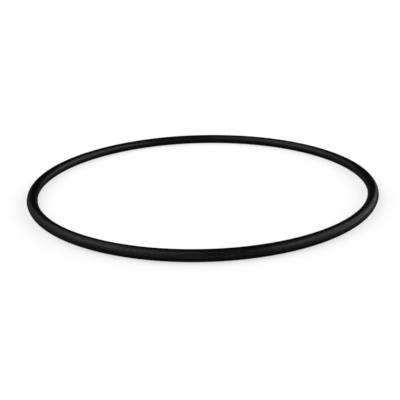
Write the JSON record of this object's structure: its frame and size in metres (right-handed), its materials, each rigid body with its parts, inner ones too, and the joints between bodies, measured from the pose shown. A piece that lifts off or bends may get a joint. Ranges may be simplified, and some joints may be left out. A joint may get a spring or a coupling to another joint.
{
  "type": "rubber o-ring",
  "caption": "Round-section black rubber sealing ring, moulded in one piece, that seals the joint between two parts in a groove.",
  "frame": {"origin": "centre of the ring, on the parting plane half way up the cord", "axes": "+Z along the ring's own axis, square to the surface it lies on; X and Y are in the parting plane and equal, because the ring is round"},
  "size_m": [0.1057, 0.1056, 0.0032],
  "materials": {
    "rubber": "satin"
  },
  "bodies": {
    "root": {"o_ring": "rubber"}
  },
  "joints": []
}
